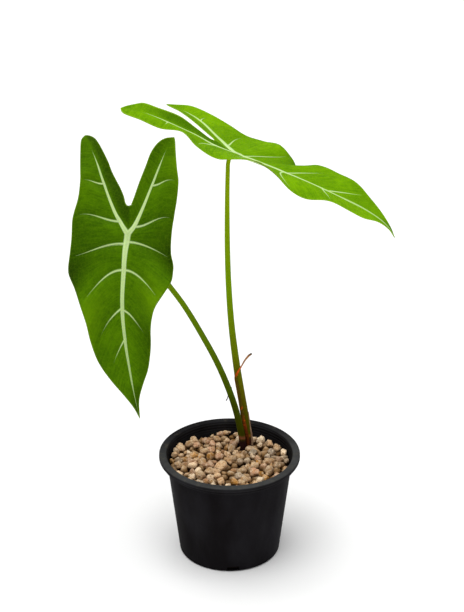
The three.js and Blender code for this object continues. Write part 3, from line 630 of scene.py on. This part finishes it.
tallStalkLook = {
    "top": (0.32, 0.46, 0.0015), "middle": (0.195, 0.345, 0.0008), "low": (0.125, 0.088, 0.0004),
    "foot": (0.066, 0.058, 0.0006), "band": (0.42, 0.14, 0.02), "hollow": (0.060, 0.018, 0.012),
    "roughness": 0.45, "gloss": 0.016}
frontStalkLook = {
    "top": (0.28, 0.44, 0.0012), "middle": (0.135, 0.240, 0.0006), "low": (0.051, 0.075, 0.0004),
    "foot": (0.053, 0.042, 0.0004), "band": (0.40, 0.11, 0.06), "hollow": (0.030, 0.009, 0.011),
    "roughness": 0.45, "gloss": 0.016}


def stalkSkin(name, look):
    n = Nodes(name)
    place, grain = n.place(), n.read("grain", "Vector")
    height = n.axis(place, "Z")
    cloud = n.noise(place, 60, 3, 0.55)
    uneven = n.math("SUBTRACT", cloud, 0.5)
    rise = n.math("DIVIDE", n.plus(height, n.times(uneven, 0.05)), 0.4, clamp=True)
    green = n.ramp(rise, {0.24: look["foot"], 0.36: look["low"], 0.64: look["middle"],
                          0.9: look["top"]})
    lines = n.noise(n.scaled(grain, (0.03, 1.2, 1)), 1, 3, 0.6)
    colour = n.mix(n.times(lines, 0.42), green, darker(look["middle"], 0.4))
    # just over the stones the base turns a dark purple brown, under a red ring
    base = n.math("DIVIDE", n.plus(height, n.times(uneven, 0.008)), 0.4, clamp=True)
    colour = n.mix(n.ramp(base, {0.245: 0, 0.251: 0.8, 0.257: 0}), colour, look["band"])
    colour = n.mix(n.ramp(base, {0.24: 0.95, 0.248: 0}), colour, look["hollow"])
    normal = n.bump(lines, 0.4, 0.0003, n.bump(n.noise(place, 700, 2, 0.5), 0.2, 0.00008))
    rough = n.linear(cloud, 0.16, look["roughness"] - 0.08)
    return n.finish(colour, rough, look["gloss"], normal, Subsurface_Weight=0.08,
                    Subsurface_Radius=(0.8, 1.0, 0.1), Subsurface_Scale=0.001)


for plan, look, name, node in ((tallStalk, tallStalkLook, "tallStalkSkin", "tall_petiole"),
                               (frontStalk, frontStalkLook, "frontStalkSkin", "front_petiole")):
    piece = bendTube(name, plan, [stalkSkin(name, look)], wobble=0.012)
    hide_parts(node)
print("stalks: done")


# pot: lathe profile [radius, height] in mm, thin black plastic; a dent is [turn, width, depth]
potPlan = {"sides": 160, "rim": 65, "height": 100, "lipWidth": 6.6, "lipHeight": 4, "stepRadius": 62.4,
           "stepHeight": 3.8, "wallTop": 57.7, "wallBase": 47, "foot": 44.6, "footRise": 2.4, "wall": 1.5,
           "floor": 2, "rings": 3, "ringPitch": 2.6,
           "drain": {"count": 4, "size": (10.8, 12, 3.8), "lift": 1.7, "turn": 4},
           "dents": ((-2.25, 0.14, 1.1), (-1.95, 0.3, -0.5), (-0.85, 0.12, 1.2), (-1.15, 0.3, -0.45),
                     (1.2, 0.3, 0.7), (2.6, 0.25, 0.8))}
potLook = {"black": (0.0072, 0.0063, 0.0070), "paintedSheen": (0.0150, 0.0142, 0.0165),
           "wearAndSheen": (0.055, 0.056, 0.056), "dust": (0.10, 0.085, 0.06), "roughness": 0.46, "gloss": 0.006}


def potWall(p, height):
    # radius of the outer wall, which tapers from the step down to the foot
    step = p["height"] - p["lipHeight"] - p["stepHeight"]
    rise = (height - p["footRise"]) / (step - p["footRise"])
    return p["wallBase"] + (p["wallTop"] - p["wallBase"]) * rise


def potProfile(p):
    top, under = p["height"], p["height"] - p["lipHeight"]
    step = under - p["stepHeight"]
    rim, ledge, mouth = p["rim"], p["stepRadius"], p["rim"] - p["lipWidth"]
    foot, base, floor, pitch = p["foot"], p["footRise"], p["floor"], p["ringPitch"]
    line = [(0, 0), (20, 0), (foot - 1, 0), (foot, 0.1), (foot + 1.1, 0.45), (potWall(p, 1.2), 1.3),
            (potWall(p, base), base)]
    line += [(potWall(p, z), z) for z in np.linspace(base + 4, step - 1.2, 26)]
    line += [(potWall(p, step) + 0.1, step - 0.5), (potWall(p, step) + 0.7, step), (ledge - 0.5, step),
             (ledge - 0.1, step + 0.15), (ledge, step + 0.6), (ledge, under - 0.5), (ledge + 0.5, under)]
    line += [(rim - 0.6, under), (rim - 0.15, under + 0.15), (rim, under + 0.6), (rim, top - 1.0),
             (rim - 0.2, top - 0.35), (rim - 0.8, top - 0.05), (rim - 1.6, top)]
    line += [(mouth + 1.4, top), (mouth + 0.5, top - 0.1), (mouth, top - 0.5), (mouth - 0.3, top - 1.2)]
    for i in range(p["rings"]):
        z = top - 1.8 - i * pitch
        r = mouth - 0.4 - i * 0.3
        line += [(r, z), (r - 0.1, z - 0.2), (r - 0.5, z - 0.45), (r - 0.55, z - 0.7),
                 (r - 0.55, z - pitch + 0.35)]
    line += [(potWall(p, z) - p["wall"], z) for z in np.linspace(88, floor + 2, 16)]
    corner = potWall(p, 2) - p["wall"]
    return line + [(corner - 0.3, floor + 0.7), (corner - 1.2, floor), (0, floor)]


def turnProfile(profile, sides):
    # solid of revolution; the profile starts and ends on the axis
    points, faces, rows = [], [], []
    for r, z in profile:
        if r == 0:
            rows.append([len(points)] * sides)
            points.append((0, 0, z))
            continue
        rows.append(list(range(len(points), len(points) + sides)))
        for k in range(sides):
            turn = 2 * math.pi * k / sides
            points.append((r * math.cos(turn), r * math.sin(turn), z))
    for a, b in zip(rows, rows[1:]):
        for k in range(sides):
            face = distinct((a[k], a[(k + 1) % sides], b[(k + 1) % sides], b[k]))
            if len(face) > 2:
                faces.append(face)
    return np.array(points, float), faces


def dentWall(points, dents):
    # soft dents that fade out toward the foot and the step
    height, turns = points[:, 2], np.arctan2(points[:, 1], points[:, 0])
    shown = np.clip((height - 8) / 25, 0, 1) * np.clip((88 - height) / 20, 0, 1)
    push = np.zeros(len(points))
    for middle, width, depth in dents:
        away = np.angle(np.exp(1j * (turns - middle)))
        push -= depth * np.exp(-(away / width) ** 2)
    radius = np.hypot(*points.T[:2])
    points[:, :2] *= (1 + push * shown / np.maximum(radius, 30))[:, None]


def cutFrom(piece, cutters):
    # exact boolean cuts, baked into the mesh
    for cutter in cutters:
        mod = piece.modifiers.new("cut", "BOOLEAN")
        mod.operation = "DIFFERENCE"
        mod.solver = "EXACT"
        mod.object = cutter
    graph = bpy.context.evaluated_depsgraph_get()
    mesh = bpy.data.meshes.new_from_object(piece.evaluated_get(graph))
    piece.modifiers.clear()
    old = piece.data
    piece.data = mesh
    bpy.data.meshes.remove(old)
    for cutter in cutters:
        bpy.data.objects.remove(cutter)


def boxPiece(size, centre, turn):
    corners = np.array(list(product((-0.5, 0.5), repeat=3))) * size + centre
    c, s = math.cos(turn), math.sin(turn)
    corners[:, :2] = corners[:, :2] @ [[c, s], [-s, c]]
    faces = [(0, 1, 3, 2), (4, 6, 7, 5), (0, 4, 5, 1), (2, 3, 7, 6), (0, 2, 6, 4), (1, 5, 7, 3)]
    return makePiece("cutter", corners * mm, faces, [], smooth=False)


def plasticSkin(look):
    n = Nodes("potPlastic")
    place = n.place()
    cloud = n.noise(place, 18, 3, 0.5)
    fine = n.noise(place, 420, 3, 0.6)
    scuff = n.noise(n.scaled(place, (40, 40, 7)), 1, 4, 0.65)
    sheen = n.noise(n.scaled(place, (30, 30, 14)), 1, 3, 0.5)
    share = n.math("DIVIDE", n.axis(place, "Z"), 0.1)
    # painted sheen on the lip is strongest at the front and right and faint at the back
    near = n.plus(n.math("DIVIDE", n.axis(place, "Y"), -0.13), n.times(n.axis(place, "X"), 1.6))
    near = n.ramp(n.plus(near, 0.5, clamp=True), {0.15: 0.1, 0.6: 1})
    # worn grey and painted sheen on the flat of the lip, and thin painted highlight lines along the edges
    # under it
    lip = n.ramp(share, {0.919: 0, 0.924: 0.35, 0.929: 0, 0.957: 0, 0.962: 0.5,
                         0.967: 0.05, 0.988: 0.1, 0.995: 1})
    wearAndSheen = n.times(n.times(lip, near), n.ramp(scuff, {0.3: 0.5, 0.62: 1.05}))
    flat = n.ramp(share, {0.985: 0, 0.995: 1})
    # painted highlight lines on the rings inside the mouth
    ring = n.math("FRACT", n.math("DIVIDE", n.math("SUBTRACT", 0.983, share), 0.026))
    ring = n.times(n.ramp(ring, {0: 0.55, 0.16: 0.08, 0.9: 0}), n.read("inside"))
    wearAndSheen = n.math("MAXIMUM", wearAndSheen, n.times(ring, n.ramp(scuff, {0.3: 0.5, 0.6: 1})))
    dust = n.times(n.ramp(n.noise(place, 130, 4, 0.7), {0.54: 0, 0.8: 0.7}), flat)
    # painted sheen: lighter patches on the black plastic stand in for reflections in the dents
    base = n.ramp(sheen, {0.42: look["black"], 0.7: look["paintedSheen"]})
    colour = n.mix(dust, n.mix(wearAndSheen, base, look["wearAndSheen"]), look["dust"])
    rough = n.linear(scuff, 0.25, look["roughness"] - 0.12)
    normal = n.bump(fine, 0.25, 0.0001, n.bump(cloud, 0.4, 0.002))
    return n.finish(colour, rough, look["gloss"], normal)


def drainCutters(plan):
    # boxes round the foot that cut the drain slots
    drain = plan["drain"]
    centre = (0, -plan["wallBase"], drain["lift"] + drain["size"][2] / 2)
    turns = [math.radians(drain["turn"] + 360 / drain["count"] * k) for k in range(drain["count"])]
    return [boxPiece(drain["size"], centre, turn) for turn in turns]


points, faces = turnProfile(potProfile(potPlan), potPlan["sides"])
dentWall(points, potPlan["dents"])
potPiece = makePiece("potShell", points * mm, faces, [plasticSkin(potLook)])
cutFrom(potPiece, drainCutters(potPlan))
places = np.array([v.co[:] for v in potPiece.data.vertices]) / mm
mouth = potPlan["rim"] - potPlan["lipWidth"]
inside = (np.hypot(*places.T[:2]) < mouth - 0.2) & (places[:, 2] > 90)
addValues(potPiece, "inside", inside)
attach(potPiece, "root")
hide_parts("pot")
print("pot:", len(potPiece.data.polygons), "faces")


# gravel: rounded angular pumice stones in several tones, with dark mix between them
# each layer: lowest and highest centre, smallest and largest radius in mm, tries, fineness of the stones
gravelPlan = {"seed": 11, "reach": 56.0, "closeness": 0.82, "keepOff": (14.5, 31.5, 6.5),
              "stretch": (0.74, 1.24), "fromWall": 1.8, "layers": [
    (84.6, 86.4, 3.8, 5.0, 2500, 2), (87.7, 89.2, 4.7, 6.2, 420, 3), (88.0, 90.2, 3.6, 4.5, 3500, 3),
    (87.6, 90.4, 2.9, 3.6, 3000, 3), (86.8, 89.2, 2.0, 2.8, 900, 2)]}
# dark is the painted shade deep between the stones; brown is the pores' colour and the painted shade just
# above it
gravelLook = {"tan": (0.65, 0.43, 0.245), "pale": (0.88, 0.69, 0.48), "orange": (0.52, 0.25, 0.06),
              "grey": (0.50, 0.41, 0.315), "rosy": (0.60, 0.35, 0.22), "dark": (0.066, 0.024, 0.003),
              "brown": (0.30, 0.15, 0.035), "seed": 5, "shade": (0.58, 1.3), "warmth": (0.97, 1.08),
              "kinds": (("orange", 0.1), ("grey", 0.22), ("rosy", 0.36), ("pale", 0.5), ("tan", 1))}


def shapeStone(rays, rng):
    # a round-cornered block: the nearest of several cut planes, softened, then made lumpy and pitted
    planes = unit(rng.normal(size=(10, 3)))
    facing = np.maximum(rays @ planes.T, 0) / rng.uniform(0.72, 1.0, 10)
    radius = 1 / np.maximum((facing ** 20).sum(1) ** (1 / 20), 0.82)
    start = Vector(rng.uniform(-50, 50, 3))
    for k, ray in enumerate(rays):
        spot = Vector(ray)
        lump = 0.30 * noise.noise(spot * 1.7 + start) + 0.17 * noise.noise(spot * 3.8 + start)
        pit = max(noise.noise(spot * 5.5 - start) - 0.22, 0)
        radius[k] += lump + 0.08 * noise.noise(spot * 8 + start) - 0.6 * pit
    return rays * radius[:, None]


def unitBall(levels):
    ball = bmesh.new()
    bmesh.ops.create_icosphere(ball, subdivisions=levels, radius=1)
    verts = np.array([v.co[:] for v in ball.verts])
    tris = np.array([[v.index for v in f.verts] for f in ball.faces])
    ball.free()
    return unit(verts), tris


def layStones(plan):
    # darts thrown layer by layer; a stone stays where it finds room
    rng = np.random.default_rng(plan["seed"])
    laid = np.zeros((0, 6))
    offX, offY, offRadius = plan["keepOff"]
    for low, high, small, large, tries, level in plan["layers"]:
        for _ in range(tries):
            size = rng.uniform(small, large)
            away = (plan["reach"] - size * 0.8) * math.sqrt(rng.random())
            turn = rng.uniform(0, 2 * math.pi)
            spot = np.array([away * math.cos(turn), away * math.sin(turn), rng.uniform(low, high)])
            if math.hypot(spot[0] - offX, spot[1] - offY) < offRadius + size * 0.7:
                continue
            if len(laid):
                gap = np.linalg.norm(laid[:, :3] - spot, axis=1) - plan["closeness"] * (laid[:, 3] + size)
                if gap.min() < 0:
                    continue
            laid = np.vstack([laid, [*spot, size, level, rng.integers(1 << 30)]])
    return laid


def stoneBody(stone, plan):
    # one stone in its place, pushed in where it would touch the pot's wall
    x, y, z, size, level, seed = stone
    rng = np.random.default_rng(int(seed))
    rays, tris = balls[int(level)]
    body = shapeStone(rays, rng) * rng.uniform(*plan["stretch"], 3) * size
    turn = rng.uniform(0, 6.3)
    body = body @ np.array(Matrix.Rotation(turn, 3, Vector(rng.normal(size=3)).normalized()))
    body += (x, y, z)
    limit = potWall(potPlan, body[:, 2]) - plan["fromWall"]
    body[:, :2] *= np.minimum(1, limit / np.maximum(np.hypot(*body.T[:2]), 1e-6))[:, None]
    return body, tris


def stoneTone(look, rng):
    roll = rng.random()
    red, green, blue = look[next(kind for kind, most in look["kinds"] if roll < most)]
    shade, warm = rng.uniform(*look["shade"]), rng.uniform(*look["warmth"])
    return red * shade * warm, green * shade, blue * shade / warm, 1


def stoneSkin(look):
    n = Nodes("pumiceSkin")
    place = n.place()
    tone = n.read("stoneTone", "Color")
    blotch = n.noise(place, 330, 4, 0.6)
    pores = n.noise(place, 950, 3, 0.7)
    colour = n.mix(n.ramp(blotch, {0.44: 0, 0.62: 0.65}), tone, look["pale"])
    colour = n.mix(n.ramp(blotch, {0.3: 0.6, 0.43: 0}), colour, look["orange"])
    colour = n.mix(n.ramp(pores, {0.36: 0.95, 0.47: 0}), colour, look["brown"])
    # painted shade: deep between the stones the colour turns brown, then dark, for the shadow in the gaps
    rise = n.share(n.axis(place, "Z"), 0.083, 0.01)
    colour = n.mix(n.ramp(rise, {0.42: 0.8, 0.86: 0}), colour, look["brown"])
    colour = n.mix(n.ramp(rise, {0.33: 0.97, 0.76: 0}), colour, look["dark"])
    normal = n.bump(pores, 0.9, 0.0007, n.bump(blotch, 0.8, 0.0012))
    return n.finish(colour, n.linear(blotch, 0.1, 0.86), 0.1, normal)


stones = layStones(gravelPlan)
balls = {2: unitBall(2), 3: unitBall(3)}
toneRng = random.Random(gravelLook["seed"])
pumice = stoneSkin(gravelLook)
for index, name in enumerate(("gravelA", "gravelB", "gravelC", "gravelD")):
    points, faces, tones = [], [], []
    for stone in stones[index::4]:
        body, tris = stoneBody(stone, gravelPlan)
        faces += list(tris + len(points))
        points += list(body)
        tones += [stoneTone(gravelLook, toneRng)] * len(body)
    piece = makePiece(name, np.array(points) * mm, faces, [pumice])
    spot = piece.data.color_attributes.new("stoneTone", "FLOAT_COLOR", "POINT")
    spot.data.foreach_set("color", np.array(tones, np.float32).ravel())
    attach(piece, "root")
    if name == "gravelA":
        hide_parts("gravel")
print("gravel:", len(stones), "stones")


# potting mix seen between the stones and through the drain slots, with an uneven bed under the stones
mixLook = {"soil": (0.018, 0.008, 0.004), "crumb": (0.050, 0.024, 0.010), "bottomDark": (0.003, 0.002, 0.002)}
bedPlan = {"sides": 96, "uneven": 0.9, "profile": [(0, 80), (54.2, 80), (54.4, 84.6), (50, 84.8), (40, 84.5),
                                                   (30, 84.9), (20, 84.6), (10, 84.8), (0, 84.6)]}


def soilSkin(name, look):
    n = Nodes(name)
    place = n.place()
    crumb = n.noise(place, 420, 4, 0.65)
    grit = n.put("ShaderNodeTexVoronoi", Vector=place, Scale=520.0)
    colour = n.ramp(crumb, {0.35: look["soil"], 0.7: look["crumb"]})
    rise = n.math("DIVIDE", n.axis(place, "Z"), 0.1)
    # darker towards the bottom of the pot, where the mix shows through the drain slots
    colour = n.mix(n.ramp(rise, {0.06: 0.85, 0.4: 0}), colour, look["bottomDark"])
    normal = n.bump(grit.outputs["Distance"], 0.8, 0.0009, n.bump(crumb, 0.7, 0.001))
    return n.finish(colour, n.linear(crumb, 0.1, 0.88), 0.1, normal)


def coat(nodeName, skin):
    # a solid that shows as it is, in a material of its own
    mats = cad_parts[nodeName].data.materials
    mats.clear()
    mats.append(skin)


soil = soilSkin("pottingSoil", mixLook)
coat("potting_mix", soil)
bedPoints, bedFaces = turnProfile(bedPlan["profile"], bedPlan["sides"])
for p in bedPoints:
    if p[2] > 84:
        p[2] += bedPlan["uneven"] * noise.noise(Vector((p[0], p[1], 0)) * 0.25)
bedPiece = makePiece("gravelBed", bedPoints * mm, bedFaces, [soil])
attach(bedPiece, "root")
print("potting mix: done")


# corm top and the dry remains of older leaves, with keys like the stalks'
cormLook = {"bark": (0.055, 0.022, 0.017), "rib": (0.13, 0.055, 0.035)}
sheathPlan = {"sides": 20, "step": 0.8, "keys": [
    [17.2, 29.4, 82, 2.4, 1], [17.2, 29.4, 94, 2.5, 1], [15.6, 29, 106, 2.8, 1], [13.6, 28.6, 115, 3, 0.9],
    [12, 28.2, 124, 3, 0.9], [10.6, 27.8, 133, 3, 0.8], [9.2, 27.4, 142, 3, 0.8], [7.8, 27, 151, 3, 0.8],
    [6.4, 26.5, 159, 2.8, 0.8], [5.7, 25.2, 165, 2.4, 0.7], [7.3, 24.4, 170, 2, 0.7],
    [10.2, 24.6, 175, 1.3, 0.8], [13.6, 26, 181, 1.5, 0.9], [17.4, 27.8, 185.4, 1.9, 1],
    [20.4, 29, 187.2, 1.7, 1.1]]}
membranePlan = {"sides": 16, "step": 0.8, "keys": [
    [21.2, 32.4, 84, 2, 0.9], [21.2, 32.4, 94, 1.9, 0.9], [19.9, 32, 104, 1.7, 0.8],
    [18.6, 31.6, 114, 1.5, 0.8], [17.5, 31.2, 125, 0.9, 0.7]]}
# a small scale and a withered thread on the front stalk
scrapPlans = {
    "stalkSpur": {"sides": 12, "step": 0.4, "tone": (0.030, 0.075, 0.004), "keys": [
        [1, 20.4, 152, 1, 1], [1.3, 20.8, 154.4, 1.7, 1.3], [1.4, 20.9, 156.2, 1.4, 1.2],
        [1.1, 20.7, 157.6, 0.5, 0.5]]},
    "stalkThread": {"sides": 8, "step": 0.4, "tone": (0.07, 0.055, 0.12), "keys": [
        [-1, 19.2, 150.6, 0.6, 0.6], [-1.6, 18.4, 148, 0.8, 0.7], [-2.3, 18.2, 145.6, 0.9, 0.8],
        [-3.1, 18.4, 144.2, 1.3, 1.1]]}}
sheathLook = {"base": (0.15, 0.036, 0.007), "flame": (0.30, 0.060, 0.008), "middle": (0.125, 0.085, 0.006),
              "bright": (0.84, 0.125, 0.010), "thread": (0.62, 0.30, 0.14), "tip": (0.10, 0.08, 0.06),
              "rim": (0.52, 0.10, 0.018)}
paperLook = {"paper": (0.66, 0.47, 0.33), "stain": (0.36, 0.19, 0.09)}


def drySkin(n, colour):
    # fibres and stains over the colour of a dry piece
    place, grain = n.place(), n.read("grain", "Vector")
    fibre = n.noise(n.scaled(grain, (0.08, 2.2, 1)), 1, 4, 0.65)
    stain = n.noise(place, 220, 3, 0.6)
    shade = n.ramp(n.times(n.plus(fibre, stain), 0.5), {0.35: 0.45, 0.6: 1})
    colour = n.mix(1.0, colour, shade, "MULTIPLY")
    return n.finish(colour, n.linear(stain, 0.2, 0.6), 0.02, n.bump(fibre, 0.6, 0.0004))


def sheathSkin(look):
    n = Nodes("drySheathSkin")
    height = n.axis(n.place(), "Z")
    tint = n.ramp(n.share(height, 0.08, 0.11), {
        0.1: look["base"], 0.2: look["base"], 0.3: look["flame"], 0.42: look["middle"],
        0.765: look["middle"], 0.805: look["bright"], 0.85: look["bright"], 0.89: look["thread"],
        0.955: look["thread"], 0.975: look["tip"]})
    rise = n.math("DIVIDE", height, 0.2)
    spots = n.ramp(n.noise(n.place(), 380, 2, 0.5), {0.58: 0, 0.66: 0.9})
    spots = n.times(spots, n.ramp(rise, {0.49: 0, 0.52: 1, 0.64: 1, 0.68: 0}))
    # the viewer's left side, half a turn round, is a thin red edge
    turn = n.math("DIVIDE", n.axis(n.read("grain", "Vector"), "Y"), 3 * math.pi)
    rim = n.ramp(n.math("ABSOLUTE", n.math("SUBTRACT", turn, 1.0)), {0.1: 0.85, 0.3: 0})
    rim = n.times(rim, n.ramp(rise, {0.6: 0.2, 0.72: 1, 0.85: 1, 0.87: 0}))
    return drySkin(n, n.mix(rim, n.mix(spots, tint, look["bright"]), look["rim"]))


def paperSkin(look):
    n = Nodes("paperySkin")
    return drySkin(n, n.mix(n.noise(n.place(), 150, 3, 0.6), look["paper"], look["stain"]))


def scrapSkin(name, tone):
    n = Nodes(name)
    return drySkin(n, n.mix(n.noise(n.place(), 400, 2, 0.5), tone, darker(tone, 0.6)))


def cormSkin(look):
    n = Nodes("cormSkin")
    fibre = n.noise(n.scaled(n.place(), (260, 260, 60)), 1, 4, 0.65)
    colour = n.ramp(fibre, {0.35: look["bark"], 0.7: look["rib"]})
    return n.finish(colour, n.linear(fibre, 0.15, 0.7), 0.2, n.bump(fibre, 0.8, 0.001))


sheathPiece = bendTube("drySheathSkin", sheathPlan, [sheathSkin(sheathLook)], 0.06, 3)
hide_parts("dry_sheath")
membranePiece = bendTube("dryMembraneSkin", membranePlan, [paperSkin(paperLook)], 0.06, 4)
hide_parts("dry_membrane")
for name, plan in scrapPlans.items():
    piece = bendTube(name, plan, [scrapSkin(name + "Skin", plan["tone"])], 0.04, 6)
coat("corm", cormSkin(cormLook))
print("corm and dry sheaths: done")


# studio: pale floor, soft overhead light, camera
studio = {"floor": (0.88, 0.88, 0.88), "sky": 0.48, "sun": 2.9, "sunAngle": 60, "sunFrom": (-0.14, -0.10, 1),
          "camera": (0.00227, -1.360, 0.891), "pitch": 25.27, "lens": 100}


def floorSkin(look):
    n = Nodes("paleFloor")
    cloud = n.noise(n.place(), 3, 2, 0.5)
    colour = n.ramp(cloud, {0.2: darker(look, 0.985), 0.8: look})
    return n.finish(colour, 0.9, 0)


floorCorners = [(-8, -8, 0), (8, -8, 0), (8, 8, 0), (-8, 8, 0)]
floorPiece = makePiece("floor", floorCorners, [(0, 1, 2, 3)], [floorSkin(studio["floor"])], smooth=False)
floorPiece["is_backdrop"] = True

sunData = bpy.data.lights.new("softOverhead", "SUN")
sunData.energy = studio["sun"]
sunData.angle = math.radians(studio["sunAngle"])
sun = bpy.data.objects.new("softOverhead", sunData)
sun.rotation_euler = Vector(studio["sunFrom"]).to_track_quat("Z", "Y").to_euler()
scene.collection.objects.link(sun)
world = bpy.data.worlds.new("studioAir")
world.use_nodes = True
sky = world.node_tree.nodes["Background"].inputs
sky["Color"].default_value = (1, 1, 1, 1)
sky["Strength"].default_value = studio["sky"]
scene.world = world
scene.view_settings.view_transform = "Standard"
scene.view_settings.look = "None"

lens = bpy.data.cameras.new("view")
lens.lens = studio["lens"]
lens.sensor_width = 36
lens.clip_start = 0.05
viewer = bpy.data.objects.new("view", lens)
viewer.location = studio["camera"]
viewer.rotation_euler = (math.radians(90 - studio["pitch"]), 0, 0)
scene.collection.objects.link(viewer)
scene.camera = viewer
print("studio: done")

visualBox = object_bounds()
asLists = lambda box: [[float(v) for v in corner] for corner in box]
{"cad": asLists(cadBox), "visual": asLists(visualBox)}
